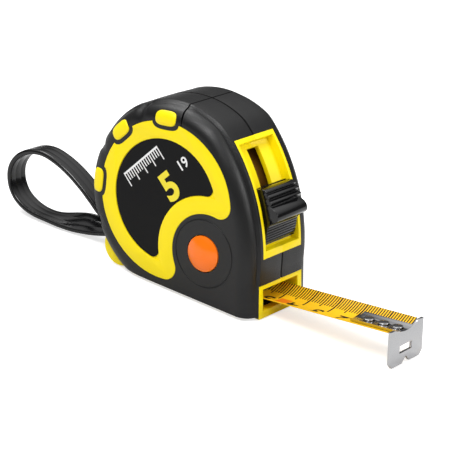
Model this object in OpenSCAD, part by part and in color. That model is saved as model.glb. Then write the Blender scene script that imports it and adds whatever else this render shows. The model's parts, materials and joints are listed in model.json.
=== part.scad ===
// Pocket tape measure: 5 m x 19 mm blade in a rubber-covered two-part case, with a thumb
// lock on the front, a brake button on the side and a moulded wrist strap at the heel.
// +X is the way the blade comes out, +Z is up and Y runs across the case, so the side with
// the button faces -Y. The origin lies on the base plane, under the spool's axis.

/* [Case] */
// Overall thickness of the case across its rubber sides
case_t = 36; // [33:0.5:46]
// Radius of the round back and top of the case
back_r = 35; // [35:0.5:44]
// Radius of the long front curve that the lock slides along
front_r = 65.2; // [65:0.5:76]
// Thickness of the moulded case wall
wall = 2.0; // [1.4:0.1:2.2]
// Thickness of the rubber cover over the wall
rubber_t = 1.6; // [1.0:0.1:1.8]
// Thickness of the case floor under the blade
floor_t = 1.3; // [0.8:0.1:1.4]
// Radius of the rounded shoulder between the rim and the flat sides
shoulder_r = 5.5; // [3:0.5:6]
// Reach of the mouth's lower lip in front of the spool axis
lip_x = 40; // [39:0.5:42]

/* [Blade] */
// Nominal width of the blade
blade_w = 19; // [16:0.5:20]
// Thickness of the blade with its coating
blade_t = 0.3; // [0.2:0.05:0.4]
// Depth of the blade's hollow cross-section
blade_sag = 2.4; // [1.8:0.1:2.6]
// Length of blade standing out of the mouth
blade_out = 50; // [50:1:90]
// Angle that the blade rises at from the mouth to the hook
blade_pitch = 6.5; // [5.5:0.1:7]

/* [Spool] */
// Radius of the hub wall that the blade winds on
hub_r = 20.5; // [16:0.5:21]
// Outer radius of the wound blade
coil_r = 25.7; // [24:0.1:25.9]
// Outer radius of the spool's side discs
disc_r = 27; // [26.2:0.1:27.4]
// Radius of the fixed axle
axle_r = 3; // [2:0.25:4]

/* [Lock] */
// Width of the thumb piece
thumb_w = 17; // [12:0.5:18]
// How far the thumb piece stands out of its window at its lobe
thumb_rise = 8.5; // [5:0.5:10]
// Depth of the recess that the lock slides in
recess_d = 3; // [2.4:0.1:3.4]

/* [Brake button] */
// Diameter of the brake button
button_d = 12.5; // [9:0.5:14]
// Height of the button's dome above the side of the case
button_rise = 1.9; // [1:0.1:3]

/* [Hook] */
// Width of the end hook
hook_w = 20; // [17:0.5:22]
// Drop of the hook plate below the blade's edges
hook_drop = 12.1; // [10:0.1:12.1]
// Thickness of the hook's steel
hook_t = 0.9; // [0.6:0.1:1.2]
// Length of the hook's tongue along the blade
tongue_l = 18.5; // [15:0.5:20]

/* [Wrist strap] */
// Width of the strap
strap_w = 9; // [6:0.5:10]
// Thickness of the strap
strap_t = 2; // [1.2:0.1:2.2]
// Radius of the round heel that holds the strap's anchor
heel_r = 6.9; // [6:0.1:7.1]

/* [Hidden] */

$fn = 96;
hull_fn = 64;
big = 200;
eps = 0.01;

// Running gaps
fit = 0.05;
gap = 0.2;
seat = 0.3;

// The case's two main curves: the back and top about the spool axis, the front about a
// point low at the rear, which is also what the lock turns about.
axis_z = back_r - 5;
front_c = [-27, axis_z - 18];
half_t = case_t / 2;
skin = rubber_t + wall;
inner_y = half_t - skin;
base_round = 0.8;
crown_y = half_t - shoulder_r;

// Mouth
mouth_w = 24.6;
mouth_top = 11.5;
mouth_bar = 2.3;
mouth_back_x = 29.6;
mouth_top_x = 38.2;
mouth_hole_top = 9.9;
mouth_hole_bottom = 2.5;
blade_mouth = [38.7, 6.4];

// Blade cross-section: an arc with its edges at height 0
blade_half = 8.9 * blade_w / 19;
blade_r = (blade_half * blade_half + blade_sag * blade_sag) / (2 * blade_sag);
hook_play = 0.9;
blade_inside = 7.5;
rivet_s = [-14, -8.2, -2.9];
rivet_r = 1.2;
tongue_half = 4.3;
tongue_gap = 0.15;

// Spool, from the middle outwards
coil_half = blade_w / 2;
disc_t = 1.0;
disc_in = coil_half + 0.4;
disc_out = disc_in + disc_t;
washer_t = 0.4;
boss_end = disc_out + washer_t + 0.1;
hub_wall = 1.7;
boss_r = axle_r + 1.6;
spring_out = hub_r - hub_wall - 0.5;
spring_w = 2 * coil_half - 3;
spring_t = 0.5;
spring_turns = 7;

// Lock, measured from the front curve's centre
window_y = 10.8;
window_bar = 1.3;
window_low = 7.7;
window_high = 44;
ledge = 2.2;
top_ledge = 1.5;
thumb_low = 12;
thumb_high = 28.6;
slot_half = 3;
window_floor_t = 1.6;
floor_out_r = front_r - recess_d;
floor_in_r = floor_out_r - window_floor_t;
thumb_base_t = 1.2;
carrier_t = 1.4;
carrier_half = 7;
carrier_r = floor_in_r - gap - carrier_t;
pad_half = 4;
pad_high = -3.4;
pad_low = -6.4;

// Brake button
button_at = [17.9, axis_z - 12];
button_flange = 1.2;
button_flange_t = 1.0;
pad_t = 0.5;
leaf_t = 0.3;

// Heel, strap pin and anchor
heel_z = 7.1;
heel_at = [6.97 - sqrt(back_r * back_r - (axis_z - heel_z) * (axis_z - heel_z)), heel_z];
heel_half = 15;
pin_r = 2;
eye_r = 3.4;
anchor_half = 5.2;
anchor_x = -28;
anchor_z = [3.9, 10.5];

// Screws: their places about the spool axis, or in the case, and their sizes
post_r = 2.3;
post_reach = disc_r + seat + post_r + 0.3;
post_turns = [199, 125, 64];
low_post = [26.6, axis_z - 17.8];
screw_at = concat([for (a = post_turns) [post_reach * cos(a), axis_z + post_reach * sin(a)]], [low_post]);
screw_r = 1.1;
screw_head_r = 1.9;
screw_head_t = 1.3;
pilot_depth = 10;

// The strap's centre line, from the anchor round the loop and back
strap_path = [
    [-28, 0, 8.9], [-33, -0.5, 8.8], [-38, -1, 10.8], [-42.5, -1.3, 14.2], [-47, -1.6, 17.6],
    [-53, -2, 21.3], [-59.5, -2.3, 24], [-66, -2.6, 25.2], [-72, -3, 24], [-77, -3.3, 20.5],
    [-79.5, -3.5, 15.5], [-79, -3.5, 10], [-76, -3.6, 5.6], [-71, -3.7, 2.9], [-65, -3.7, 1.8],
    [-58, -3.5, 2], [-51, -3.1, 3], [-45, -2.5, 4], [-39, -1.8, 4.6], [-33, -0.8, 5], [-28, 0, 5.5]
];

yellow = [0.98, 0.87, 0.02];
rubber = [0.2, 0.2, 0.21];
black = [0.08, 0.08, 0.09];
steel = [0.75, 0.76, 0.78];
amber = [0.93, 0.7, 0.08];

// Turns a shape drawn in the side view, x forward and y up, into a slab from y0 to y1
module slab(y0, y1) {
    translate([0, y1, 0]) rotate([90, 0, 0]) linear_extrude(y1 - y0) children();
}

// A cylinder along Y at a point of the side view
module rod(at, r, y0, y1) {
    translate([at[0], y1, at[1]]) rotate([90, 0, 0]) cylinder(h = y1 - y0, r = r);
}

// Height at which the back circle and the front curve cross low on the front
function cross_low(i) =
    let (r1 = back_r - i, r2 = front_r - i)
    let (dx = -front_c[0], dz = axis_z - front_c[1], d = norm([dx, dz]))
    let (a = (r2 * r2 - r1 * r1 + d * d) / (2 * d), h = sqrt(max(0, r2 * r2 - a * a)))
    front_c[1] + (a * dz - h * dx) / d;

// Side view of the case, drawn in by an inset i and cut off at height z0
module outline(i, z0) {
    intersection() {
        translate(front_c) circle(front_r - i);
        union() {
            intersection() {
                translate([0, axis_z]) circle(back_r - i);
                translate([-big / 2, z0]) square([big, big]);
            }
            translate([0, z0]) square([big, cross_low(i) - z0]);
        }
    }
}

// The same with the mouth's lower lip
module lipped(i, z0) {
    outline(i, z0);
    polygon([[20, z0], [lip_x - i, z0], [mouth_top_x - i - 0.3, mouth_top + 2], [20, mouth_top + 2]]);
}

// Bean-shaped panel on the side of the case, drawn in by an inset i
module bean(i) {
    offset(r = 4.6 - i) offset(delta = -4.6) difference() {
        translate([-0.3, axis_z + 1]) circle(27.7, $fn = hull_fn);
        translate([19.5, axis_z - 12.5]) circle(14.7, $fn = hull_fn);
    }
}

// Solid of the whole case with rounded shoulders on the outside, for the side y > 0
module rounded_half() {
    hull() {
        for (a = [0, 30, 60, 90]) {
            y = crown_y + shoulder_r * sin(a);
            i = shoulder_r * (1 - cos(a));
            slab(0, y) lipped(i, min(i, base_round), $fn = hull_fn);
        }
    }
}

// A band of the front curve between two radii and two angles, from -y1 to y1
module front_band(r0, r1, a0, a1, y1) {
    translate([front_c[0], y1, front_c[1]]) rotate([90, 0, 0]) rotate([0, 0, a0])
        rotate_extrude(angle = a1 - a0, $fn = 180) translate([r0, 0]) square([r1 - r0, 2 * y1]);
}

// Cuts shared by both case halves and the rubber, at the front
module window_cut(grow) {
    a = asin(grow / front_r);
    front_band(floor_out_r - big * 0.05, front_r + 5, window_low - a, window_high + a, window_y + grow);
}

module mouth_solid(grow) {
    translate([0, mouth_w / 2 + grow, 0]) rotate([90, 0, 0]) linear_extrude(mouth_w + 2 * grow)
        polygon([[mouth_back_x - grow, -grow], [lip_x + grow * 9, -grow], [lip_x + grow * 9, mouth_top + grow],
                 [mouth_back_x - grow, mouth_top + grow]]);
}

// Places a shape drawn along the blade: x from the hook's inner face at full rest reach,
// y across, z up from the blade's edges
module on_blade() {
    translate([blade_mouth[0], 0, blade_mouth[1]]) rotate([0, -blade_pitch, 0])
        translate([blade_out, 0, 0]) children();
}

// Curved strip of the blade's section from x0 to x1, between radii r0 and r1, half width h
module curved_strip(x0, x1, r0, r1, h) {
    intersection() {
        translate([x0, 0, blade_r - blade_sag]) rotate([0, 90, 0]) difference() {
            cylinder(h = x1 - x0, r = r1, $fn = 180);
            translate([0, 0, -1]) cylinder(h = x1 - x0 + 2, r = r0, $fn = 180);
        }
        translate([x0 - 1, -h, -blade_sag - 2]) cube([x1 - x0 + 2, 2 * h, blade_sag + 4]);
    }
}

// Room for the strap's anchor and for the strap where it leaves the heel
module anchor_room() {
    translate([anchor_x - 9, -1, anchor_z[0] - seat])
        cube([heel_at[0] - anchor_x + 9, anchor_half + 1 + seat, anchor_z[1] - anchor_z[0] + 2 * seat]);
    rod(heel_at, eye_r + seat, -1, anchor_half + seat);
}

// The wall under the rubber, rounded about the same centres as the shoulder outside it
module covered_half(z0) {
    r = shoulder_r - rubber_t;
    hull() {
        for (a = [0, 30, 60, 90]) {
            slab(-1, crown_y + r * sin(a)) outline(rubber_t + r * (1 - cos(a)), z0, $fn = hull_fn);
        }
    }
}

// One half of the moulded case, built on the side y > 0; button_side adds the button's hole
module case_half(button_side) {
    difference() {
        union() {
            // Rim wall and side wall
            difference() {
                intersection() {
                    covered_half(0);
                    slab(0, half_t) outline(rubber_t, 0);
                }
                slab(-1, inner_y) outline(skin, floor_t);
            }
            // Raised bean panel
            slab(inner_y, half_t) bean(0);
            // Mouth frame and the thickened wall around the lock's window
            intersection() {
                slab(0, mouth_w / 2) lipped(0, 0);
                mouth_solid(0);
            }
            intersection() {
                slab(0, window_y) difference() {
                    outline(0, 0);
                    outline(recess_d + window_floor_t, 0);
                }
                front_band(front_r - 12, front_r + 5, window_low, window_high, window_y);
            }
            // Heel, hollowed where the spool turns
            difference() {
                rod(heel_at, heel_r, 0, heel_half);
                rod([0, axis_z], disc_r + 2 * seat, -1, inner_y);
            }
            // Bosses for the axle and the screws
            rod([0, axis_z], boss_r, boss_end, inner_y + 1);
            for (p = screw_at) rod(p, post_r, 0, inner_y + 1);
        }
        // Mouth passage
        translate([mouth_back_x - 5, -1, mouth_hole_bottom])
            cube([big, mouth_w / 2 - mouth_bar + 1, mouth_hole_top - mouth_hole_bottom]);
        translate([mouth_back_x - 1, -1, floor_t])
            cube([lip_x - mouth_back_x - 2, mouth_w / 2 - mouth_bar + 1, 3]);
        // Lock recess, its slot, and the way down to the blade for the lock's arm
        front_band(floor_out_r, front_r + 5, window_low + ledge, window_high - top_ledge, window_y - window_bar);
        front_band(carrier_r - 0.9, floor_in_r, pad_low - 1, thumb_low, pad_half + seat);
        front_band(front_r - 12, front_r + 5, thumb_low, window_high - 2 * top_ledge, slot_half + gap);
        // Axle and strap pin seats
        rod([0, axis_z], axle_r, boss_end - 1, inner_y + wall / 2);
        rod(heel_at, pin_r, -1, heel_half - 2);
        anchor_room();
        // Label recess
        slab(half_t - 0.5, half_t + 1) bean(6);
        if (button_side) {
            rod(button_at, button_d / 2 + gap, inner_y - 1, half_t + 1);
        }
    }
}

module case_left() {
    color(yellow) mirror([0, 1, 0]) difference() {
        case_half(true);
        for (p = screw_at) rod(p, screw_r, -1, pilot_depth);
    }
}

module case_right() {
    color(yellow) difference() {
        case_half(false);
        for (p = screw_at) {
            rod(p, screw_r + gap, -1, half_t);
            rod(p, screw_head_r + gap, half_t - rubber_t - screw_head_t, half_t + 1);
        }
    }
}

// One half of the rubber cover on the side y > 0
module grip_half(button_side) {
    difference() {
        rounded_half();
        covered_half(-1);
        slab(-1, half_t + 1) bean(-0.02);
        mouth_solid(0.02);
        window_cut(0.02);
        rod(heel_at, heel_r + 0.02, -1, heel_half + 0.02);
        anchor_room();
        if (button_side) {
            rod(button_at, button_d / 2 + gap, inner_y, half_t + 1);
        }
        if (!button_side) {
            for (p = screw_at) rod(p, screw_head_r + gap, 0, half_t + 1);
        }
    }
}

module grip_left() {
    color(rubber) mirror([0, 1, 0]) grip_half(true);
}

module grip_right() {
    color(rubber) grip_half(false);
}

// Printed foil label in the bean panel's recess
module label_half() {
    slab(half_t - 0.5, half_t - 0.2) bean(6.2);
}

module label_left() {
    color(black) mirror([0, 1, 0]) label_half();
}

module label_right() {
    color(black) label_half();
}

// Self-tapping screws from the right side
module case_screws() {
    color(steel) for (p = screw_at) {
        head_y = half_t - rubber_t - screw_head_t;
        rod(p, screw_r, -pilot_depth + 1, head_y + eps);
        difference() {
            rod(p, screw_head_r, head_y, head_y + screw_head_t - 0.2);
            translate([p[0], half_t - rubber_t, p[1]]) cube([2.6, 1.6, 0.5], center = true);
            translate([p[0], half_t - rubber_t, p[1]]) cube([0.5, 1.6, 2.6], center = true);
        }
    }
}

// Rubber bumper on the floor just inside the mouth
module blade_guard() {
    color(black) translate([mouth_back_x - 1 + gap, -mouth_w / 2 + mouth_bar + gap, floor_t])
        cube([lip_x - mouth_back_x - 2 - 2 * gap, mouth_w - 2 * mouth_bar - 2 * gap, 0.9]);
}

// Fixed axle, slotted for the inner end of the mainspring
module spool_axle() {
    end_y = inner_y + wall / 2;
    color(steel) difference() {
        rod([0, axis_z], axle_r, -end_y, end_y);
        translate([-0.4, -spring_w / 2, axis_z]) cube([0.8, spring_w, axle_r + 1]);
    }
}

// Thrust washers between the discs and the case bosses
module axle_washers() {
    color(steel) for (s = [0, 1]) mirror([0, s, 0]) difference() {
        rod([0, axis_z], boss_r, disc_out + fit, disc_out + fit + washer_t);
        rod([0, axis_z], axle_r + fit, disc_out - 1, boss_end + 1);
    }
}

// Hub wall and right disc of the spool, with its bearing boss
module spool_drum() {
    color([0.85, 0.85, 0.82]) difference() {
        union() {
            rod([0, axis_z], disc_r, disc_in, disc_out);
            difference() {
                rod([0, axis_z], hub_r, -disc_in + 0.1, disc_in + eps);
                rod([0, axis_z], hub_r - hub_wall, -disc_in - 1, disc_in);
            }
            rod([0, axis_z], boss_r, spring_w / 2 + 0.5, disc_in + eps);
        }
        rod([0, axis_z], axle_r + fit, -big, big);
        // Slot for the hooked ends of the blade and the mainspring
        translate([hub_r - hub_wall - 1, -spring_w / 2, axis_z + 2]) cube([hub_wall + 2, spring_w, 1.6]);
    }
}

// Left disc, snapped onto the hub wall
module spool_cover() {
    color([0.85, 0.85, 0.82]) difference() {
        union() {
            rod([0, axis_z], disc_r, -disc_out, -disc_in);
            difference() {
                rod([0, axis_z], hub_r - hub_wall - 0.1, -disc_in - eps, -disc_in + 1);
                rod([0, axis_z], hub_r - hub_wall - 1.1, -disc_in - 1, -disc_in + 2);
            }
            rod([0, axis_z], boss_r, -disc_in - eps, -spring_w / 2 - 0.5);
        }
        rod([0, axis_z], axle_r + fit, -big, big);
    }
}

// Spiral of the mainspring, from the axle to the hub wall
function spiral(k, steps) =
    let (f = k / steps, a = 90 + 360 * spring_turns * f, r = axle_r + 0.5 + (spring_out - axle_r - 0.5) * f)
    [r * cos(a), r * sin(a)];

module mainspring() {
    steps = 24 * spring_turns;
    out_side = [for (k = [0:steps]) spiral(k, steps)];
    in_side = [for (k = [steps:-1:0]) spiral(k, steps) * (1 - spring_t / norm(spiral(k, steps)))];
    color([0.35, 0.37, 0.42]) translate([0, 0, axis_z]) {
        slab(-spring_w / 2 + 0.3, spring_w / 2 - 0.3) polygon(concat(out_side, in_side));
    }
}

// The wound part of the blade
module blade_coil() {
    color(amber) difference() {
        rod([0, axis_z], coil_r, -coil_half, coil_half);
        rod([0, axis_z], hub_r + fit, -coil_half - 1, coil_half + 1);
    }
}

// Flattened stretch of blade between the coil and the mouth
module blade_lead() {
    z0 = axis_z - coil_r - blade_t - gap;
    x1 = blade_mouth[0] - (blade_inside + 0.3) * cos(blade_pitch);
    z1 = blade_mouth[1] - (blade_inside + 0.3) * sin(blade_pitch) - blade_sag * 0.7;
    color(amber) slab(-coil_half, coil_half)
        polygon([[0, z0], [x1, z1], [x1, z1 + blade_t], [0, z0 + blade_t]]);
}

// Straight stretch of blade from inside the mouth to the hook
module blade() {
    color(amber) on_blade() difference() {
        curved_strip(-blade_out - blade_inside, -hook_play - 0.1, blade_r - blade_t, blade_r, blade_half);
        for (s = rivet_s) translate([s, 0, -blade_sag - 1]) cylinder(h = 2, r = rivet_r + fit);
    }
}

// End hook: tongue, plate with its slot and notch, and the curved bend between them
module end_hook() {
    top_r = blade_r - blade_t - tongue_gap;
    low_r = top_r - hook_t;
    nail = [7.3, 2.6];
    color(steel) on_blade() difference() {
        union() {
            curved_strip(-tongue_l, hook_t / 2, low_r, top_r, tongue_half);
            difference() {
                translate([0, -hook_w / 2, -hook_drop]) cube([hook_t, hook_w, hook_drop + 0.6]);
                translate([-1, 0, blade_r - blade_sag]) rotate([0, 90, 0]) cylinder(h = hook_t + 2, r = low_r, $fn = 180);
                for (s = [-1, 1]) translate([-1, s * hook_w / 2, -hook_drop]) rotate([45, 0, 0])
                    translate([0, -1.2, -1.2]) cube([hook_t + 2, 2.4, 2.4]);
            }
        }
        translate([-1, -nail[0] / 2 - 0.4, -hook_drop + 3.9]) cube([hook_t + 2, nail[0], nail[1]]);
        translate([-1, 0, -hook_drop]) rotate([45, 0, 0])
            translate([0, -1.6, -1.6]) cube([hook_t + 2, 3.2, 3.2]);
        for (s = rivet_s) hull() {
            for (d = [0, hook_play + 0.1]) translate([s + d, 0, -blade_sag - 1])
                cylinder(h = 4, r = rivet_r + gap / 2, $fn = 32);
        }
    }
}

// Rivets that hold the hook and let it slide by its own thickness
module hook_rivets() {
    head_z = -blade_sag + blade_t + tongue_gap + hook_t + 0.16;
    color(steel) on_blade() for (s = rivet_s) translate([s, 0, 0]) {
        translate([0, 0, head_z]) cylinder(h = 0.35, r = 1.9);
        translate([0, 0, -blade_sag - 0.3]) cylinder(h = head_z + blade_sag + 0.4, r = rivet_r);
        translate([0, 0, -blade_sag - 0.45]) cylinder(h = 0.4, r = 1.6);
    }
}

// Thumb piece of the lock: base, stem through the slot, three ribs and one large lobe. Its
// outline is a list of [share of its length from the bottom, height above the floor].
thumb_line = [
    [0.03, 1], [0.05, 2.2], [0.14, 3], [0.27, 3.6], [0.38, 4.6], [0.45, 6.2], [0.49, 7.6], [0.53, 8.25],
    [0.57, 8.4], [0.61, 8.2], [0.645, 7.4], [0.67, 6.6], [0.69, 6.4], [0.72, 6.9], [0.745, 6.7],
    [0.765, 5.6], [0.785, 5.4], [0.815, 5.9], [0.84, 5.6], [0.86, 4.5], [0.88, 4.3], [0.91, 4.6],
    [0.935, 4.2], [0.955, 3], [0.97, 1]
];
function thumb_point(p) =
    let (a = thumb_low + (thumb_high - thumb_low) * p[0], r = floor_out_r + gap / 2 + p[1] * thumb_rise / 8.4)
    front_c + [r * cos(a), r * sin(a)];

module lock_thumb() {
    r0 = floor_out_r + gap / 2;
    color(black) {
        front_band(r0, r0 + thumb_base_t, thumb_low, thumb_high, window_y - window_bar - gap);
        front_band(carrier_r + carrier_t, r0 + eps, thumb_low + 1.5, thumb_high - 1.5, slot_half);
        slab(-thumb_w / 2, thumb_w / 2) polygon([for (p = thumb_line) thumb_point(p)]);
    }
}

// Carrier behind the window floor, with an arm down to the blade
module lock_carrier() {
    color([0.3, 0.3, 0.32]) {
        front_band(carrier_r, carrier_r + carrier_t, thumb_low, thumb_high, carrier_half);
        front_band(carrier_r, carrier_r + carrier_t, pad_high, thumb_low + eps, pad_half);
    }
}

// Soft foot of the lock arm, which presses the blade to the floor of the mouth
module lock_pad() {
    color([0.25, 0.25, 0.26])
        front_band(carrier_r - 0.6, carrier_r + carrier_t, pad_low, pad_high, pad_half);
}

// Side button with its retaining flange
module brake_button() {
    flange_y = inner_y - gap;
    color([1, 0.5, 0.05]) mirror([0, 1, 0]) {
        rod(button_at, button_d / 2, flange_y - eps, half_t + 0.2);
        rod(button_at, button_d / 2 + button_flange, flange_y - button_flange_t, flange_y);
        intersection() {
            translate([button_at[0], half_t + button_rise - 12, button_at[1]]) sphere(12);
            rod(button_at, button_d / 2, half_t + 0.1, half_t + 5);
        }
    }
}

// Friction disc on the button's inner face, opposite the spool's left disc
module brake_pad() {
    pad_y = inner_y - gap - button_flange_t;
    color([0.45, 0.3, 0.2]) mirror([0, 1, 0]) rod(button_at, button_d / 2 - 1, pad_y - pad_t, pad_y);
}

// Leaf spring that returns the button: an eye on the low screw post and a ring under the flange
module button_spring() {
    leaf_y = inner_y - gap - button_flange_t - leaf_t - fit;
    color(steel) mirror([0, 1, 0]) difference() {
        union() {
            rod(low_post, post_r + 1.4, leaf_y, leaf_y + leaf_t);
            rod(button_at, button_d / 2 + button_flange - gap, leaf_y, leaf_y + leaf_t);
        }
        rod(low_post, post_r + fit, leaf_y - 1, leaf_y + 1);
        rod(button_at, button_d / 2 - 1 + gap, leaf_y - 1, leaf_y + 1);
    }
}

// Pin that holds the strap's anchor in the heel
module strap_pin() {
    color(steel) rod(heel_at, pin_r, -heel_half + 2.2, heel_half - 2.2);
}

// Moulded eye that joins the two ends of the strap
module strap_anchor() {
    color(black) difference() {
        union() {
            rod(heel_at, eye_r, -anchor_half, anchor_half);
            translate([anchor_x, -anchor_half, anchor_z[0]])
                cube([heel_at[0] - anchor_x, 2 * anchor_half, anchor_z[1] - anchor_z[0]]);
        }
        rod(heel_at, pin_r + fit, -big, big);
    }
}

// Strap swept along its centre line, with its width held level
function unit(v) = v / norm(v);
function tangent(k) =
    let (n = len(strap_path) - 1)
    k == 0 || k == n ? [k == 0 ? -1 : 1, 0, 0] : unit(strap_path[k + 1] - strap_path[k - 1]);
function ring(k) =
    let (t = tangent(k), y = unit([0, 1, 0] - t * t[1]), n = cross(y, t))
    let (w = strap_w / 2, h = strap_t / 2, c = h * 0.4)
    let (s = [[w, h - c], [w - c, h], [c - w, h], [-w, h - c], [-w, c - h], [c - w, -h], [w - c, -h], [w, c - h]])
    [for (p = s) strap_path[k] + y * p[0] + n * p[1]];

module wrist_strap() {
    n = len(strap_path);
    points = [for (k = [0:n - 1]) each ring(k)];
    sides = [for (k = [0:n - 2]) for (j = [0:7]) for (f = [0, 1])
        let (a = k * 8 + j, b = k * 8 + (j + 1) % 8)
        f == 0 ? [a, b, b + 8] : [a, b + 8, a + 8]];
    caps = [[for (j = [7:-1:0]) j], [for (j = [0:7]) (n - 1) * 8 + j]];
    color(black) polyhedron(points, concat(sides, caps));
}

case_left();
case_right();
grip_left();
grip_right();
label_left();
label_right();
case_screws();
blade_guard();
spool_axle();
axle_washers();
spool_drum();
spool_cover();
mainspring();
blade_coil();
blade_lead();
blade();
end_hook();
hook_rivets();
lock_thumb();
lock_carrier();
lock_pad();
brake_button();
brake_pad();
button_spring();
strap_pin();
strap_anchor();
wrist_strap();
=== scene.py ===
"""A 5 m pocket tape measure: rubber-covered yellow case, thumb lock, side brake button, steel
blade with a sliding end hook, and a moulded wrist strap. Sizes are in metres, +X is the way
the blade comes out, +Z is up, and the button side faces -Y."""

import json
import math

import bmesh
import bpy
from mathutils import Matrix, Vector


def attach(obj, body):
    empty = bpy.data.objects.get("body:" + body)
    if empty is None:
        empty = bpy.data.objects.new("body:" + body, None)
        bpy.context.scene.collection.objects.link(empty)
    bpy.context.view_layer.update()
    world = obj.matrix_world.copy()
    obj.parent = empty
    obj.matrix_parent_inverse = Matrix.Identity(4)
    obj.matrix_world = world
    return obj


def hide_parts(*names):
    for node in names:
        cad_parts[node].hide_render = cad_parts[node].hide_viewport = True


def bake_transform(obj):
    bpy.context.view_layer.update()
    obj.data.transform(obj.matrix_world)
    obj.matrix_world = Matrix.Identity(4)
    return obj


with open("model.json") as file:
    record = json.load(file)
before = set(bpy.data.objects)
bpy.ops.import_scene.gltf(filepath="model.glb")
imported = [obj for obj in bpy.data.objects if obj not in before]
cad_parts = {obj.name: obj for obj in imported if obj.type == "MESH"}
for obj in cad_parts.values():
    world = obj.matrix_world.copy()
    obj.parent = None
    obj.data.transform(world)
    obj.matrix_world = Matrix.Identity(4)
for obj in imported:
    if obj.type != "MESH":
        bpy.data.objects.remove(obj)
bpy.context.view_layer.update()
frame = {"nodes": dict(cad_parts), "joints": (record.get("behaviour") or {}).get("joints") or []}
nodes = frame["nodes"]
joints = {j["name"]: j for j in frame["joints"]}
MM = 0.001

# ---------------------------------------------------------------------------------------
# Camera, floor and light. A long lens looks down on the button side and the mouth, a little
# rolled. Three soft lamps and a pale sky light it, and shiny faces mirror a sky that is dark
# low down and bright overhead.

AIM = Vector((16.66, -5.37, 24.89)) * MM
LOOK_AZIMUTH, LOOK_ELEVATION, LOOK_ROLL = (math.radians(a) for a in (34.64, 21.58, 7.16))
LOOK_DISTANCE = 0.7
LENS_MM, SENSOR_MM = 165.43, 36
LAMP_SIZE = 0.3
# Lowest and highest direction, and how bright the sky is at each
SKY = (0.0, 0.8, 0.3, 0.8)
MIRRORED_SKY = (0.35, 0.85, 0.1, 1.3)
FLOOR_SIZE, FLOOR_Z, FLOOR_GLOW = 6, -0.0004, 0.62
WHITE = (1, 1, 1, 1)

back = Vector((math.sin(LOOK_AZIMUTH) * math.cos(LOOK_ELEVATION),
               -math.cos(LOOK_AZIMUTH) * math.cos(LOOK_ELEVATION),
               math.sin(LOOK_ELEVATION)))
camera_data = bpy.data.cameras.new("camera")
camera_data.lens = LENS_MM
camera_data.sensor_width = SENSOR_MM
camera = bpy.data.objects.new("camera", camera_data)
bpy.context.collection.objects.link(camera)
bpy.context.scene.camera = camera
camera.location = AIM + back * LOOK_DISTANCE
camera.rotation_mode = "QUATERNION"
camera.rotation_quaternion = (-back).to_track_quat("-Z", "Y")
camera.rotation_quaternion.rotate(Matrix.Rotation(LOOK_ROLL, 3, back))


def clear_selection():
    for o in bpy.context.selected_objects:
        o.select_set(False)


def lamp(name, at, power):
    data = bpy.data.lights.new(name, "AREA")
    data.shape, data.size, data.energy = "DISK", LAMP_SIZE, power
    made = bpy.data.objects.new(name, data)
    bpy.context.collection.objects.link(made)
    made.location = at
    made.rotation_euler = (AIM - Vector(at)).to_track_quat("-Z", "Y").to_euler()


def calc(tree, operation, *values):
    """Output of a math node. Each value is a number, or a socket to link."""
    made = tree.nodes.new("ShaderNodeMath")
    made.operation = operation
    for k, value in enumerate(values):
        if isinstance(value, (int, float)):
            made.inputs[k].default_value = value
        else:
            tree.links.new(value, made.inputs[k])
    return made.outputs[0]


def remap(tree, value, from_min, from_max, to_min, to_max):
    """Output of a map range node over one value."""
    made = tree.nodes.new("ShaderNodeMapRange")
    made.inputs["From Min"].default_value, made.inputs["From Max"].default_value = from_min, from_max
    made.inputs["To Min"].default_value, made.inputs["To Max"].default_value = to_min, to_max
    tree.links.new(value, made.inputs["Value"])
    return made.outputs["Result"]


lamp("key_lamp", (0.05, -0.35, 0.6), 2.5)
lamp("fill_lamp", (0.6, 0.15, 0.35), 1.5)
lamp("rim_lamp", (-0.35, 0.1, 0.6), 1.5)

world = bpy.data.worlds.new("tent")
bpy.context.scene.world = world
world.use_nodes = True
sky = world.node_tree
way = sky.nodes.new("ShaderNodeTexCoord")
height = sky.nodes.new("ShaderNodeSeparateXYZ")
sky.links.new(way.outputs["Generated"], height.inputs["Vector"])
ray = sky.nodes.new("ShaderNodeLightPath")
by_ray = sky.nodes.new("ShaderNodeMix")
sky.links.new(ray.outputs["Is Glossy Ray"], by_ray.inputs["Factor"])
sky.links.new(remap(sky, height.outputs["Z"], *SKY), by_ray.inputs["A"])
sky.links.new(remap(sky, height.outputs["Z"], *MIRRORED_SKY), by_ray.inputs["B"])
strength = calc(sky, "MAXIMUM", ray.outputs["Is Camera Ray"], by_ray.outputs["Result"])
sky.links.new(strength, sky.nodes["Background"].inputs["Strength"])
sky.nodes["Background"].inputs["Color"].default_value = WHITE
bpy.context.scene.view_settings.view_transform = "Standard"

clear_selection()
bpy.ops.mesh.primitive_plane_add(size=FLOOR_SIZE, location=(0, 0, FLOOR_Z))
floor = bpy.context.object
floor.name = "floor"
floor_look = bpy.data.materials.new("pale_floor")
floor_look.use_nodes = True
tree = floor_look.node_tree
shader = tree.nodes["Principled BSDF"]
shader.inputs["Base Color"].default_value = (0.7, 0.7, 0.7, 1)
shader.inputs["Roughness"].default_value = 0.9
shader.inputs["Emission Color"].default_value = WHITE
own_ray = tree.nodes.new("ShaderNodeLightPath")
glow = calc(tree, "MULTIPLY", own_ray.outputs["Is Camera Ray"], FLOOR_GLOW)
tree.links.new(glow, shader.inputs["Emission Strength"])
floor.data.materials.append(floor_look)

# ---------------------------------------------------------------------------------------
# Rubber cover. Soft black elastomer moulded over both case halves, split down the middle:
# a raised crown band, rolled shoulders, three knuckles with sockets for the grip pads, a
# groove across the top, and openings for the panel, button, lock window and mouth.


def polar(degrees):
    turn = math.radians(degrees)
    return Vector((math.cos(turn), math.sin(turn)))


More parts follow.
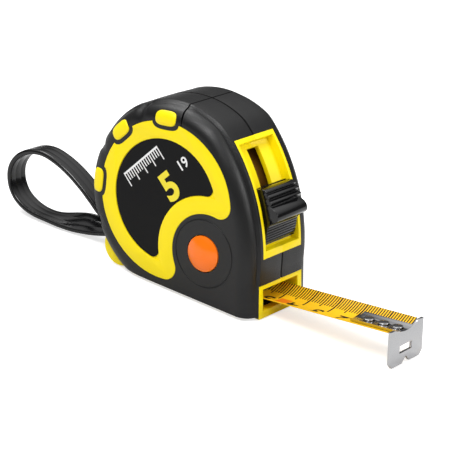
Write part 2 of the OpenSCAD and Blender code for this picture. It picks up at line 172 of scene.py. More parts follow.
# Sizes from here on are in millimetres. The case's outline in the side view is a rear circle,
# a front circle down to CURVE_FOOT, a straight front and a level base.
BACK_CENTRE, BACK_R = Vector((0, 30)), 35.0
FRONT_CENTRE, FRONT_R, CURVE_FOOT = Vector((-27, 12)), 65.2, 14.0
REAR_POINTS, FRONT_POINTS, FOOT_POINTS, BASE_POINTS = 110, 60, 10, 24
HALF_T, COVER_T = 18.0, 1.6
LIP_X, MOUTH_TOP, MOUTH_HALF = 40.0, 11.5, 12.35
WINDOW_TURNS, WINDOW_HALF = (7.67, 44.03), 10.85
HEEL_CENTRE, HEEL_R, HEEL_HALF = Vector((-19.5, 7.1)), 7.0, 15.1
# How far each row of the cover stands from the middle plane, and how far in from the rim
COVER_ROWS = [
    (0, 0.75), (0.2, 0.6), (0.4, 0.04), (0.8, 0), (4, 0), (8, 0), (11.4, 0), (12.1, 0.06), (12.5, 0.28),
    (12.9, 0.62), (13.5, 0.9), (14.3, 1.15), (15.2, 1.5), (16.1, 2.05), (16.9, 2.85), (17.5, 3.75),
    (17.85, 4.7), (18, 5.6), (18, 6.4)]
# Bearing from the rear circle's centre, distance from it, length and width
GRIP_PADS = [(181, 29.7, 8.6, 4.4), (138.3, 29.9, 8.0, 5.0), (97.5, 29.8, 8.6, 5.0)]
PAD_GROOVE, PAD_POINTS = 1.45, 40
SCREWS = [BACK_CENTRE + polar(turn) * 29.9 for turn in (199, 125, 64)] + [Vector((26.6, 12.2))]
# Bearing, half width in degrees and depth of each dip between the knuckles
VALLEYS = [(208, 7, 0.7), (159.5, 6.5, 0.9), (118, 6.5, 0.9)]
GROOVE_TURN = 88
CREASE_Y, CREASE_HALF, CREASE_DEEP = 12.9, 0.5, 0.5
BUTTON_CENTRE, BUTTON_HOLE_R = Vector((17.9, 18)), 6.6
RING_CENTRE, RING_R, RING_WIRE = Vector((18.3, 18.2)), 11.8, 0.28


def circles_cross(c1, r1, c2, r2):
    """The two points where two circles cross, the higher one first."""
    d = (c2 - c1).length
    u = (c2 - c1) / d
    a = (r1 * r1 - r2 * r2 + d * d) / (2 * d)
    h = math.sqrt(max(0.0, r1 * r1 - a * a))
    side = Vector((-u.y, u.x))
    return sorted([c1 + u * a + side * h, c1 + u * a - side * h], key=lambda p: -p.y)


def arc(centre, radius, a0, a1, count):
    """Points on an arc from one angle to the other, in degrees, without its last point."""
    return [centre + polar(a0 + (a1 - a0) * k / count) * radius for k in range(count)]


def bearing(p, centre):
    return math.degrees(math.atan2(p.y - centre.y, p.x - centre.x))


def clamp(value):
    return min(1.0, max(0.0, value))


def case_outline(inset, low):
    """Side view of the case, drawn in by an inset and cut off level at a height."""
    r1, r2 = BACK_R - inset, FRONT_R - inset
    high = circles_cross(BACK_CENTRE, r1, FRONT_CENTRE, r2)[0]
    drop = max(-1.0, min(1.0, (low - BACK_CENTRE.y) / r1))
    start = 180 - math.degrees(math.asin(drop))
    end = math.degrees(math.asin((CURVE_FOOT - FRONT_CENTRE.y) / r2))
    top, foot = FRONT_CENTRE + polar(end) * r2, Vector((LIP_X - inset, low))
    points = arc(BACK_CENTRE, r1, start, bearing(high, BACK_CENTRE), REAR_POINTS)
    points += arc(FRONT_CENTRE, r2, bearing(high, FRONT_CENTRE), end, FRONT_POINTS)
    points += [top.lerp(foot, k / FOOT_POINTS) for k in range(FOOT_POINTS)]
    points += [foot.lerp(points[0], k / BASE_POINTS) for k in range(BASE_POINTS)]
    for _ in range(5):
        for k in range(REAR_POINTS - 10, REAR_POINTS + 12):
            points[k] = (points[k - 1] + points[k + 1] + points[k] * 2) / 4
    return points


def valley(p, y):
    """How deep the cover is drawn in at a point, by the dips between its knuckles and by the
    crease that follows the shoulder ahead of the top groove."""
    turn = bearing(p, BACK_CENTRE) % 360
    depth = 0
    for at, width, deep in VALLEYS:
        near = abs(turn - at) / width
        if near < 1:
            depth += deep * clamp((abs(y) - 6) / 7) * (0.5 + 0.5 * math.cos(math.pi * near)) ** 1.3
    ahead = (GROOVE_TURN - turn) / 6 if turn < 180 else (turn - 300) / 6
    return depth + CREASE_DEEP * clamp(ahead) * math.exp(-((y - CREASE_Y) / CREASE_HALF) ** 2)


def mesh_object(name, points, faces):
    mesh = bpy.data.meshes.new(name)
    mesh.from_pydata([Vector(p) * MM for p in points], [], faces)
    made = bpy.data.objects.new(name, mesh)
    bpy.context.collection.objects.link(made)
    return made


def faces_outward(o):
    b = bmesh.new()
    b.from_mesh(o.data)
    bmesh.ops.remove_doubles(b, verts=b.verts, dist=1e-6)
    bmesh.ops.recalc_face_normals(b, faces=b.faces)
    b.to_mesh(o.data)
    b.free()


def loft(name, rings):
    """A closed piece skinned over rings of points, with both ends capped."""
    count, last = len(rings[0]), len(rings) - 1
    faces = []
    for start in range(0, last * count, count):
        for k in range(count):
            after = (k + 1) % count
            faces.append([start + k, start + after, start + count + after, start + count + k])
    faces += [list(range(count - 1, -1, -1)), list(range(last * count, (last + 1) * count))]
    made = mesh_object(name, [p for ring in rings for p in ring], faces)
    faces_outward(made)
    return made


def plate(name, outline, y0, y1):
    """A flat piece with an outline in the side view, from y0 to y1."""
    return loft(name, [[(p.x, y, p.y) for p in outline] for y in (y0, y1)])


def mirror(o):
    """Turns a right-hand piece into a left-hand one."""
    o.data.transform(Matrix.Scale(-1, 4, (0, 1, 0)))
    faces_outward(o)


def select_only(o):
    clear_selection()
    o.select_set(True)
    bpy.context.view_layer.objects.active = o


def use_modifier(o, kind, **settings):
    select_only(o)
    made = o.modifiers.new(kind.lower(), kind)
    for key, value in settings.items():
        setattr(made, key, value)
    bpy.ops.object.modifier_apply(modifier=made.name)


def combine(o, operation, others):
    for other in others:
        use_modifier(o, "BOOLEAN", operation=operation, solver="EXACT", object=other)
        bpy.data.objects.remove(other)


def cut(o, *cutters):
    combine(o, "DIFFERENCE", cutters)


def smooth(o, angle):
    select_only(o)
    bpy.ops.object.shade_smooth_by_angle(angle=math.radians(angle))


def soften(o, width, segments, angle):
    """Rounds every edge sharper than an angle."""
    use_modifier(o, "BEVEL", width=width * MM, segments=segments, limit_method="ANGLE",
                 angle_limit=math.radians(angle), harden_normals=False)


def coat(o, look):
    o.data.materials.clear()
    o.data.materials.append(look)


def bean(inset, corner):
    """Outline of the side panel, drawn in by an inset, with its corners rounded."""
    main, main_r = Vector((-0.3, 31)), 27.7 - inset
    bay, bay_r = Vector((19.5, 17.5)), 14.7 + inset
    high, low = circles_cross(main, main_r - corner, bay, bay_r + corner)
    if high.x < low.x:
        high, low = low, high
    points = arc(main, main_r, bearing(high, main), bearing(low, main) % 360, 96)
    points += arc(low, corner, bearing(low, main) % 360, 360 + bearing(bay, low) % 360, 14)
    points += arc(bay, bay_r, bearing(low, bay) % 360, bearing(high, bay) % 360, 30)
    points += arc(high, corner, bearing(bay, high) % 360 - 360, bearing(high, main), 14)
    return points


def box_outline(x0, x1, z0, z1):
    return [Vector(p) for p in ((x0, z0), (x1, z0), (x1, z1), (x0, z1))]


def pad_outline(at, radius, length, width, grow):
    """Rounded outline of a grip pad in the side view, with its long side round the rim."""
    out = polar(at)
    along = Vector((-out.y, out.x))
    half_l, half_w = length / 2 + grow, width / 2 + grow
    points = []
    for k in range(PAD_POINTS):
        a = 2 * math.pi * k / PAD_POINTS
        c, s = math.cos(a), math.sin(a)
        u = half_l * math.copysign(abs(c) ** 0.6, c)
        v = half_w * math.copysign(abs(s) ** 0.6, s)
        points.append(BACK_CENTRE + out * (radius + v) + along * u)
    return points


def front_block(name, r0, r1, a0, a1, half):
    """A block that follows the front curve between two radii and two angles, 2 half wide."""
    low, high = (arc(FRONT_CENTRE, r, a0, a1, 40) + [FRONT_CENTRE + polar(a1) * r] for r in (r0, r1))
    return plate(name, low + high[::-1], -half, half)


def cover_room():
    """The room inside the cover: its profile, drawn in by the cover's thickness."""
    profile = [(-1, COVER_T)]
    for (ya, ia), (yb, ib) in zip(COVER_ROWS[5:], COVER_ROWS[6:]):
        along = Vector((yb - ya, ib - ia)).normalized()
        y, inset = (ya + yb) / 2 - along.y * COVER_T, (ia + ib) / 2 + along.x * COVER_T
        if y > profile[-1][0] + 0.15 and inset >= profile[-1][1]:
            profile.append((y, inset))
    return loft("cover_room", [[(p.x, y, p.y) for p in case_outline(inset, -1)] for y, inset in profile])


def top_groove():
    """Cutter for the sharp groove that crosses the top and runs down to the panel."""
    rings = []
    for y, inset in [(-1, 0)] + COVER_ROWS[4:] + [(19, 7.2)]:
        out = polar(GROOVE_TURN - 0.75 * inset)
        along = Vector((-out.y, out.x))
        base = BACK_CENTRE + out * (BACK_R - inset)
        corners = [base + out * reach + along * half
                   for reach, half in ((-0.85 - 0.12 * inset, 0), (1.5, 0.8), (1.5, -0.8))]
        rings.append([(p.x, y, p.y) for p in corners])
    return loft("top_groove", rings)


def cover_half(name, side):
    rings = []
    for y, inset in COVER_ROWS:
        ring = []
        for k, p in enumerate(case_outline(inset, min(inset, 0.8))):
            dip = valley(p, y) if p.y > 6 and k < REAR_POINTS + FRONT_POINTS + 2 else 0
            q = p + (BACK_CENTRE - p).normalized() * dip
            ring.append((q.x, y, q.y))
        rings.append(ring)
    made = loft(name, rings)
    panel = plate("panel", bean(-0.12, 4.7), 10, 20)
    cut(panel, *[plate("socket", pad_outline(*pad, PAD_GROOVE), 9, 21) for pad in GRIP_PADS])
    cut(made, cover_room(), top_groove(), panel,
        front_block("window", 50, 71, *WINDOW_TURNS, WINDOW_HALF),
        plate("mouth", box_outline(29, 45, -1, MOUTH_TOP + 0.05), -MOUTH_HALF, MOUTH_HALF),
        plate("heel", arc(HEEL_CENTRE, HEEL_R, 0, 360, 64), -1, HEEL_HALF),
        plate("strap_slot", box_outline(-40, HEEL_CENTRE.x, 3.6, 10.8), -1, 5.5))
    if side < 0:
        cut(made, plate("button_hole", arc(BUTTON_CENTRE, BUTTON_HOLE_R, 0, 360, 64), 12, 22))
        clear_selection()
        bpy.ops.mesh.primitive_torus_add(
            major_radius=RING_R * MM, minor_radius=RING_WIRE * MM, major_segments=128, minor_segments=10,
            location=(RING_CENTRE.x * MM, (HALF_T + 0.05) * MM, RING_CENTRE.y * MM),
            rotation=(math.pi / 2, 0, 0))
        cut(made, bpy.context.object)
        mirror(made)
    else:
        cut(made, *[plate("screw_hole", arc(at, 2.1, 0, 360, 32), 10, 20) for at in SCREWS])
    smooth(made, 32)
    return made


def new_look(name):
    look = bpy.data.materials.new(name)
    look.use_nodes = True
    return look, look.node_tree, look.node_tree.nodes["Principled BSDF"]


def noise(tree, where, scale, detail):
    """Output of a noise node. Its scale is a number, or a socket to link."""
    made = tree.nodes.new("ShaderNodeTexNoise")
    made.inputs["Detail"].default_value = detail
    tree.links.new(where, made.inputs["Vector"])
    if isinstance(scale, (int, float)):
        made.inputs["Scale"].default_value = scale
    else:
        tree.links.new(scale, made.inputs["Scale"])
    return made.outputs["Fac"]


def mix_colours(tree, share, a, b):
    """Output of a colour mix. Each colour is three numbers, or a socket to link."""
    made = tree.nodes.new("ShaderNodeMix")
    made.data_type = "RGBA"
    tree.links.new(share, made.inputs["Factor"])
    for label, colour in (("A", a), ("B", b)):
        if isinstance(colour, tuple):
            made.inputs[label].default_value = (*colour, 1)
        else:
            tree.links.new(colour, made.inputs[label])
    return made.outputs["Result"]


def raise_surface(tree, shader, height, strength, distance):
    bump = tree.nodes.new("ShaderNodeBump")
    bump.inputs["Strength"].default_value = strength
    bump.inputs["Distance"].default_value = distance
    tree.links.new(height, bump.inputs["Height"])
    tree.links.new(bump.outputs["Normal"], shader.inputs["Normal"])


def surface_grain_group():
    """Fine moulded or cast grain: gives a height for Bump and a small change of roughness."""
    group = bpy.data.node_groups.new("surface_grain", "ShaderNodeTree")
    face = group.interface
    for label, start in (("Grain Size mm", 0.3), ("Roughness", 0.5), ("Roughness Change", 0.08)):
        face.new_socket(label, in_out="INPUT", socket_type="NodeSocketFloat").default_value = start
    for label in ("Height", "Roughness", "Cloud"):
        face.new_socket(label, in_out="OUTPUT", socket_type="NodeSocketFloat")
    entry, leave = group.nodes.new("NodeGroupInput"), group.nodes.new("NodeGroupOutput")
    place = group.nodes.new("ShaderNodeTexCoord").outputs["Object"]
    grain = noise(group, place, calc(group, "DIVIDE", 1000, entry.outputs["Grain Size mm"]), 2)
    cloud = noise(group, place, 60, 4)
    lift = calc(group, "SUBTRACT", cloud, 0.5)
    spread = calc(group, "MULTIPLY_ADD", lift, entry.outputs["Roughness Change"], entry.outputs["Roughness"])
    group.links.new(grain, leave.inputs["Height"])
    group.links.new(spread, leave.inputs["Roughness"])
    group.links.new(cloud, leave.inputs["Cloud"])
    return group


surface_grain = surface_grain_group()


def moulded_look(name, colour, roughness, grain_mm, bump, change=0.1, second=None, shine=0.5):
    """Moulded plastic or rubber: one colour with slight clouds, fine grain and uneven gloss."""
    look, tree, shader = new_look(name)
    grain = tree.nodes.new("ShaderNodeGroup")
    grain.node_tree = surface_grain
    grain.inputs["Grain Size mm"].default_value = grain_mm
    grain.inputs["Roughness"].default_value = roughness
    grain.inputs["Roughness Change"].default_value = change
    clouded = mix_colours(tree, grain.outputs["Cloud"], colour, second or tuple(c * 0.86 for c in colour))
    tree.links.new(clouded, shader.inputs["Base Color"])
    tree.links.new(grain.outputs["Roughness"], shader.inputs["Roughness"])
    raise_surface(tree, shader, grain.outputs["Height"], bump, 0.0001)
    shader.inputs["Specular IOR Level"].default_value = shine
    return look


rubber_look = moulded_look("cover_rubber", (0.006, 0.006, 0.0063), 0.36, 0.22, 0.6, 0.14,
                           (0.0042, 0.0042, 0.0045), shine=0.4)
for name, side in (("rubber_cover_left", -1), ("rubber_cover_right", 1)):
    cover = cover_half(name, side)
    coat(cover, rubber_look)
    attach(cover, "case")
    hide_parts("grip_left" if side < 0 else "grip_right")

# ---------------------------------------------------------------------------------------
# Case halves. Yellow ABS, glossy where it shows: the bean-shaped rim panel, the window
# surround, the mouth frame and the heel. Every moulded edge carries a small radius.

yellow_look = moulded_look("case_abs", (0.97, 0.77, 0.0), 0.38, 0.5, 0.12, 0.1, (0.93, 0.73, 0.0), shine=0.3)


def copy_of(node, name):
    """A clean copy of a CAD node's mesh, ready to be rounded."""
    made = bpy.data.objects.new(name, nodes[node].data.copy())
    bpy.context.collection.objects.link(made)
    made.data.materials.clear()
    b = bmesh.new()
    b.from_mesh(made.data)
    bmesh.ops.remove_doubles(b, verts=b.verts, dist=2e-6)
    bmesh.ops.dissolve_limit(b, angle_limit=math.radians(0.6), verts=b.verts, edges=b.edges)
    b.to_mesh(made.data)
    b.free()
    return made


for node, side in (("case_left", -1), ("case_right", 1)):
    half = copy_of(node, node + "_moulding")
    notch = sorted((side * (HALF_T - COVER_T + 0.05), side * (HALF_T + 1)))
    cut(half, *[plate("notch", pad_outline(*pad, PAD_GROOVE - 0.05), *notch) for pad in GRIP_PADS])
    soften(half, 0.22, 2, 40)
    smooth(half, 40)
    coat(half, yellow_look)
    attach(half, "case")
    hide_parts(node)

# ---------------------------------------------------------------------------------------
# Grip pads. Rounded yellow studs of the case, three a side: they stand in the knuckles'
# sockets and follow the cover's shoulder, a little proud of it.

# Share of the pad's outline, and height above the cover's face
PAD_RINGS = [(1.0, -1.6), (1.0, 0), (0.97, 0.25), (0.9, 0.42), (0.75, 0.52), (0.5, 0.58), (0.25, 0.6)]


def on_shoulder(p, lift):
    """A point of the cover's face over a side-view point, raised square to the face."""
    inset = min(6.3, max(0.02, BACK_R - (p - BACK_CENTRE).length))
    for (ya, ia), (yb, ib) in zip(COVER_ROWS[4:], COVER_ROWS[5:]):
        if ia <= inset <= ib and ib > ia:
            y = ya + (yb - ya) * (inset - ia) / (ib - ia)
            break
    turn = clamp((y - 12.5) / 5.5) * math.pi / 2
    out = (p - BACK_CENTRE).normalized() * math.cos(turn) * lift
    return (p.x + out.x, y + math.sin(turn) * lift, p.y + out.y)


for side, word in ((-1, "left"), (1, "right")):
    for k, pad in enumerate(GRIP_PADS):
        outline = pad_outline(*pad, 0)
        middle = sum(outline, Vector((0, 0))) / PAD_POINTS
        stud = loft(f"grip_pad_{word}_{k + 1}",
                    [[on_shoulder(middle.lerp(p, share), lift) for p in outline] for share, lift in PAD_RINGS])
        if side < 0:
            mirror(stud)
        smooth(stud, 50)
        coat(stud, yellow_look)
        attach(stud, "case")

# ---------------------------------------------------------------------------------------
# Labels. Printed black film in the panel's recess: a slanted white scale, the blade's
# length in metres as a yellow number, and its width in millimetres as a small white one.

label_look = moulded_look("label_film", (0.005, 0.005, 0.0054), 0.45, 0.8, 0.05, 0.08, shine=0.12)
white_ink = moulded_look("white_ink", (0.85, 0.85, 0.85), 0.4, 0.3, 0.05)
yellow_ink = moulded_look("yellow_ink", (0.9, 0.75, 0.02), 0.4, 0.3, 0.05)
LABEL_TURN, LABEL_UNDER, LABEL_FACE = 48, HALF_T - 0.5, HALF_T - 0.2
PRINT_Y = LABEL_FACE + 0.02
SCALE_CENTRE, SCALE_RISE, SCALE_HALF, SCALE_BAR = Vector((-10.5, 40.0)), 2.4, 9.42, 0.7
TICK_STEP, TICK_HALF, TICK_LONG, TICK_SHORT = 1.15, 0.22, 4.6, 2.6
# Digits, their size, how much bolder they are, their place and their ink
LABEL_NUMBERS = [("5", 13.5, 0.45, (1.2, 36.4), yellow_ink), ("19", 5.2, 0.08, (5.2, 46.0), white_ink)]
label_along = polar(LABEL_TURN)
label_across = Vector((-label_along.y, label_along.x))
scale_top = SCALE_CENTRE + label_across * SCALE_RISE


def bar(at, half, rise):
    """Corners of a bar on the label: 2 half long, standing on a point."""
    left, right = at - label_along * half, at + label_along * half
    return [left, right, right + label_across * rise, left + label_across * rise]


def flat_number(name, digits, size, bold, depth=0.0):
    """Plain digits as a mesh, centred and lying flat."""
    clear_selection()
    bpy.ops.object.text_add()
    made = bpy.context.object
    made.data.body = digits
    made.data.size, made.data.offset, made.data.extrude = size * MM, bold * MM, depth * MM
    made.data.align_x = made.data.align_y = "CENTER"
    bpy.ops.object.convert(target="MESH")
    made.name = name
    return made


for side, word in ((-1, "left"), (1, "right")):
    film = plate(f"label_film_{word}", bean(6.15, 2.6), *sorted((side * LABEL_UNDER, side * LABEL_FACE)))
    film.data.materials.append(label_look)
    soften(film, 0.08, 1, 35)
    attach(film, "case")
    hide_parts(f"label_{word}")

    bars = [bar(scale_top + label_along * (k * TICK_STEP), TICK_HALF, -(TICK_SHORT if k % 4 else TICK_LONG))
            for k in range(-8, 9)]
    bars.append(bar(scale_top, SCALE_HALF, SCALE_BAR))
    scale = mesh_object(f"label_scale_{word}",
                        [(p.x, side * PRINT_Y, p.y) for corners in bars for p in corners],
                        [list(range(4 * k, 4 * k + 4)) for k in range(len(bars))])
    use_modifier(scale, "SOLIDIFY", thickness=0.03 * MM, offset=0)
    faces_outward(scale)
    scale.data.materials.append(white_ink)
    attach(scale, "case")

    for digits, size, bold, at, ink in LABEL_NUMBERS:
        number = flat_number(f"label_number_{digits}_{word}", digits, size, bold, 0.015)
        number.data.transform(Matrix.Rotation(math.radians(LABEL_TURN) * -side, 4, "Z"))
        number.data.transform(Matrix.Rotation(math.pi / 2, 4, "X"))
        if side > 0:
            number.data.transform(Matrix.Rotation(math.pi, 4, "Z"))
        number.data.transform(Matrix.Translation(Vector((at[0], side * PRINT_Y, at[1])) * MM))
        number.data.materials.append(ink)
        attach(number, "case")

# ---------------------------------------------------------------------------------------
# Brake button. A glossy orange domed cap that pushes a friction pad onto the spool: the
# CAD cap, with its rim and edges rounded.


def rounded_copy(node, name, look, width, segments, angle):
    """A copy of a CAD node with its edges rounded and its look put on."""
    made = copy_of(node, name)
    soften(made, width, segments, angle)
    smooth(made, 40)
    made.data.materials.append(look)
    return made


orange_look = moulded_look("button_orange", (1.0, 0.19, 0.002), 0.2, 0.6, 0.05, 0.06, (0.96, 0.17, 0.002),
                           shine=0.4)
button = rounded_copy("brake_button", "button_cap", orange_look, 0.35, 3, 25)
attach(button, "button")
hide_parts("brake_button")

# ---------------------------------------------------------------------------------------
# Thumb lock. Glossy black nylon: a curved base plate in the window, a stem through its
# slot, and a rounded body with one large lobe for the thumb, three ribs above it and a
# finely grooved web below.

WINDOW_FLOOR_R, LOCK_LOW, LOCK_HIGH = 62.3, 11.2, 28.6
THUMB_HALF, LOCK_BASE_HALF, LOCK_BASE_T, LOCK_STEM_HALF = 8.5, 9.3, 1.2, 3
# Degrees up the window's curve, and height above its floor
THUMB_LINE = [
    (11.4, 0.9), (11.9, 1.9), (13.2, 2.5), (15, 3), (16.5, 3.6), (17.4, 4.5), (17.95, 5.8), (18.3, 7.1),
    (18.9, 8.1), (19.7, 8.4), (20.6, 8.3), (21.5, 7.7), (22.3, 6.6), (22.8, 6), (23.2, 6.3), (23.7, 6.95),
    (24.25, 6.5), (24.6, 5.75), (24.95, 5.9), (25.45, 6.6), (26, 6.1), (26.35, 5.4), (26.65, 5.45),
    (27.05, 5.9), (27.5, 5.5), (28, 4.5), (28.3, 3.2), (28.4, 0.9)]
WEB_GROOVES = [(12.6, 2.3), (13.4, 2.6), (14.2, 2.85), (15, 3.05), (15.8, 3.3), (16.6, 3.7)]
WEB_GROOVE_R = 0.28


def smooth_path(points, each):
    """Points of a Catmull-Rom curve through the given ones."""
    v = [Vector(p) for p in points]
    v = [v[0] * 2 - v[1]] + v + [v[-1] * 2 - v[-2]]
    out = []
    for k in range(1, len(v) - 2):
        for j in range(each):
            t = j / each
            a, b, c, d = v[k - 1:k + 3]
            out.append(0.5 * (2 * b + (c - a) * t + (2 * a - 5 * b + 4 * c - d) * t * t
                              + (3 * b - a - 3 * c + d) * t ** 3))
    return out + [v[-2]]


def over_window(degrees, height):
    return FRONT_CENTRE + polar(degrees) * (WINDOW_FLOOR_R + height)


gloss_black = moulded_look("lock_nylon", (0.003, 0.003, 0.0032), 0.13, 0.7, 0.04, 0.08,
                           (0.0025, 0.0025, 0.003))
profile = smooth_path([over_window(*p) for p in THUMB_LINE], 3)
thumb = plate("lock_thumb_piece", profile, -THUMB_HALF, THUMB_HALF)
soften(thumb, 0.3, 3, 60)
cut(thumb, *[plate("groove", arc(over_window(*p), WEB_GROOVE_R, 0, 360, 12), -9, 9) for p in WEB_GROOVES])
combine(thumb, "UNION", [
    front_block("base", WINDOW_FLOOR_R, WINDOW_FLOOR_R + LOCK_BASE_T, LOCK_LOW, LOCK_HIGH, LOCK_BASE_HALF),
    front_block("stem", 60.4, WINDOW_FLOOR_R + 0.5, LOCK_LOW + 1.5, LOCK_HIGH - 1.5, LOCK_STEM_HALF)])
faces_outward(thumb)
smooth(thumb, 45)
coat(thumb, gloss_black)
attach(thumb, "lock")
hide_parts("lock_thumb")

# ---------------------------------------------------------------------------------------
# Blade. Spring steel strip with a hollow section, lacquered amber, with millimetre ticks
# along the far edge and centimetre numbers that read from the far side. Inside the case it
# flattens towards the coil.

PULL = Vector(joints["blade_pull"]["axis"])
PITCH = math.atan2(PULL.z, PULL.x)
BLADE_MOUTH = Vector((38.7, 0, 6.4))
BLADE_OUT, BLADE_HALF, BLADE_SAG, BLADE_T = 50.0, 8.9, 2.4, 0.3
SECTION_R = (BLADE_HALF ** 2 + BLADE_SAG ** 2) / (2 * BLADE_SAG)
ZERO = BLADE_MOUTH + PULL * BLADE_OUT
LEAD_START, LEAD_HALF, LEAD_JOIN_X, BLADE_END = Vector((0, 0, 4.1)), 9.5, 33.0, -1.0
ACROSS, LEAD_STEPS, OUT_STEPS = 24, 16, 100
# Spacing of each kind of tick, its width and its length
TICKS = [(1, 0.44, 5.6), (5, 0.48, 6.9), (10, 0.62, 9.6)]
PATCH_AT, PATCH_HALF = (-46.8, -2.6), (2.3, 2.9)


def on_blade(s, y, lift=0.0):
    """A point on the blade's upper face: s from the hook's inner face, y across."""
    curve = SECTION_R - BLADE_T - math.sqrt((SECTION_R - BLADE_T) ** 2 - y * y)
    up = Vector((-PULL.z, 0, PULL.x))
    return ZERO + PULL * s + Vector((0, y, 0)) + up * (curve - BLADE_SAG + BLADE_T + lift)


def blade_look():
    look, tree, shader = new_look("blade_lacquer")
    place = tree.nodes.new("ShaderNodeTexCoord").outputs["Object"]
    lay = tree.nodes.new("ShaderNodeMapping")
    lay.vector_type = "TEXTURE"
    lay.inputs["Location"].default_value = ZERO * MM
    lay.inputs["Rotation"].default_value = (0, -PITCH, 0)
    lay.inputs["Scale"].default_value = (MM, MM, MM)
    tree.links.new(place, lay.inputs["Vector"])
    part = tree.nodes.new("ShaderNodeSeparateXYZ")
    tree.links.new(lay.outputs["Vector"], part.inputs["Vector"])
    along, across = part.outputs["X"], part.outputs["Y"]

    marks = 0.0
    for every, width, length in TICKS:
        near = calc(tree, "LESS_THAN", calc(tree, "PINGPONG", along, every / 2), width / 2)
        tick = calc(tree, "MULTIPLY", near, calc(tree, "GREATER_THAN", across, BLADE_HALF - length))
        marks = calc(tree, "MAXIMUM", tick, marks)
    marks = calc(tree, "MULTIPLY", marks, calc(tree, "LESS_THAN", along, -0.4))
    beside = [calc(tree, "LESS_THAN", calc(tree, "ABSOLUTE", calc(tree, "SUBTRACT", way, at)), half)
              for way, at, half in zip((along, across), PATCH_AT, PATCH_HALF)]
    patch = calc(tree, "MULTIPLY", *beside)
    cloud = noise(tree, place, 90, 2)
    ground = mix_colours(tree, cloud, (0.9, 0.52, 0.012), (0.84, 0.47, 0.01))
    warm = mix_colours(tree, patch, ground, (0.8, 0.2, 0.01))
    inked = mix_colours(tree, marks, warm, (0.022, 0.012, 0.006))
    tree.links.new(inked, shader.inputs["Base Color"])
    tree.links.new(calc(tree, "MULTIPLY_ADD", cloud, 0.12, 0.38), shader.inputs["Roughness"])
    shader.inputs["Specular IOR Level"].default_value = 0.08
    return look


widths = [-BLADE_HALF + BLADE_HALF * 2 * j / ACROSS for j in range(ACROSS + 1)]
join_s = (LEAD_JOIN_X - ZERO.x) / PULL.x
join_row = [on_blade(join_s, y) for y in widths]
rows = []
for k in range(LEAD_STEPS):
    f = k / LEAD_STEPS
    rise = f * f * (3 - 2 * f)
    row = []
    for y, joined in zip(widths, join_row):
        flat = Vector((LEAD_START.x, y * LEAD_HALF / BLADE_HALF, LEAD_START.z))
        p = flat.lerp(joined, f)
        p.z = flat.z + (joined.z - flat.z) * rise
        row.append(p)
    rows.append(row)
for k in range(OUT_STEPS + 1):
    s = join_s + (BLADE_END - join_s) * k / OUT_STEPS
    rows.append([on_blade(s, y) for y in widths])
count = ACROSS + 1
faces = [[j * count + i, j * count + i + 1, (j + 1) * count + i + 1, (j + 1) * count + i]
         for j in range(len(rows) - 1) for i in range(ACROSS)]
blade = mesh_object("blade_strip", [p for row in rows for p in row], faces)
faces_up = blade.data.polygons[0].normal.z > 0
use_modifier(blade, "SOLIDIFY", thickness=BLADE_T * MM, offset=-1 if faces_up else 1)
faces_outward(blade)
smooth(blade, 40)
blade.data.materials.append(blade_look())
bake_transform(blade)
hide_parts("blade", "blade_lead")

black_ink = moulded_look("black_ink", (0.012, 0.01, 0.008), 0.45, 0.3, 0.03, shine=0.1)
red_ink = moulded_look("red_ink", (0.6, 0.02, 0.008), 0.45, 0.3, 0.03, shine=0.1)
for centimetre in range(2, 8):
    digit = flat_number(f"blade_number_{centimetre}", str(centimetre), 8.4, 0.18)
    b = bmesh.new()
    b.from_mesh(digit.data)
    bmesh.ops.triangulate(b, faces=b.faces)
    bmesh.ops.subdivide_edges(b, edges=b.edges, cuts=2, use_grid_fill=True)
    for v in b.verts:
        u, w = -v.co.x / MM, -v.co.y / MM
        v.co = on_blade(-10 * centimetre - 2.6 + u, -3.2 + w, 0.02) * MM
    b.to_mesh(digit.data)
    b.free()
    digit.data.materials.append(red_ink if centimetre > 5 else black_ink)
    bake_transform(digit)

# ---------------------------------------------------------------------------------------
# End hook and its rivets. Nickel-plated steel: the tongue lies in the blade's hollow, the
# plate hangs below it with a nail slot and a notch, and loose rivets let it slide.


def plated_look(name, colour, roughness, brush):
    """Plated or rolled steel: uneven gloss and fine scratches along one way."""
    look, tree, shader = new_look(name)
    lay = tree.nodes.new("ShaderNodeMapping")
    lay.inputs["Scale"].default_value = brush
    tree.links.new(tree.nodes.new("ShaderNodeTexCoord").outputs["Object"], lay.inputs["Vector"])
    scratch = noise(tree, lay.outputs["Vector"], 900, 3)
    gloss = remap(tree, scratch, 0, 1, roughness * 0.8, roughness * 1.25)
    tree.links.new(gloss, shader.inputs["Roughness"])
    raise_surface(tree, shader, scratch, 0.12, 0.00005)
    shader.inputs["Base Color"].default_value = (*colour, 1)
    shader.inputs["Metallic"].default_value = 1
    return look


steel_look = plated_look("nickel_plate", (0.5, 0.5, 0.51), 0.16, (1, 1, 6))
hook = rounded_copy("end_hook", "hook_plate", steel_look, 0.32, 3, 35)
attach(hook, "hook")
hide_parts("end_hook")

rivets = rounded_copy("hook_rivets", "hook_rivet_heads", steel_look, 0.14, 3, 35)
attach(rivets, "blade")
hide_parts("hook_rivets")

# ---------------------------------------------------------------------------------------
# Wrist strap. One length of flat, ribbed, glossy vinyl, looped through the heel's eye: it
# stands by its own stiffness in a tear-shaped loop and rests its lower run on the bench.

